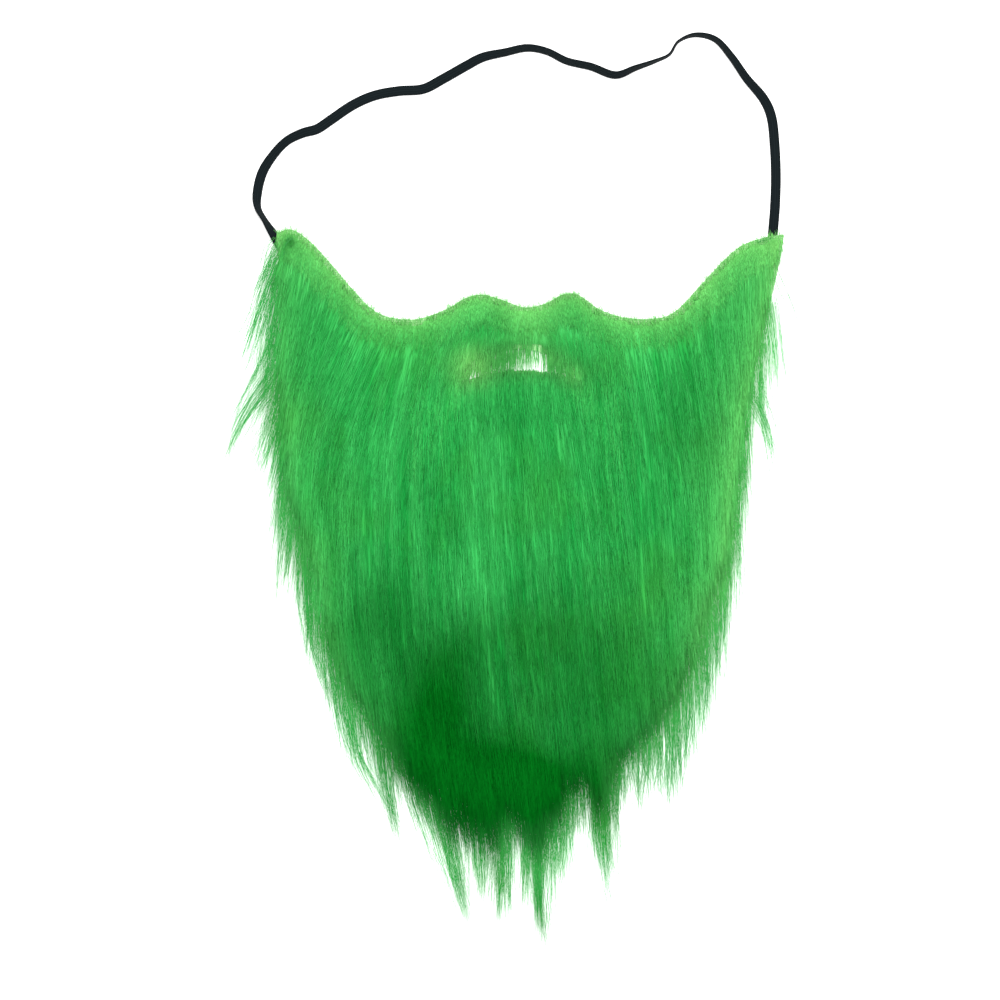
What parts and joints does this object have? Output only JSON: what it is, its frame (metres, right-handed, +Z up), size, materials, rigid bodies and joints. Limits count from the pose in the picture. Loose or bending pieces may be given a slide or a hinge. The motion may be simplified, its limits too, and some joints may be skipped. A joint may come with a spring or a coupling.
{
  "type": "fake beard",
  "caption": "Long-pile faux fur beard with moustache strip and mouth slit cut in one cloth, and a flat elastic strap from ear tab to ear tab.",
  "frame": {"origin": "middle of the fur's outline seen from above, on the surface that the backing lies on", "axes": "+Z up from the backing through the pile, +Y from the chin fringe towards the ear tabs and strap, +X to the right seen from the pile side"},
  "size_m": [0.2766, 0.4503, 0.016],
  "materials": {
    "green_fur": "bright green long straight acrylic pile, silky, darker in the thick lower part and paler at the cut edge and the fringe",
    "black_elastic": "matt black braided flat elastic",
    "knit_backing": "pale yellow-green warp-knit backing cloth"
  },
  "bodies": {
    "root": {"faux_fur_beard": "green_fur", "elastic_strap": "black_elastic"}
  },
  "joints": []
}
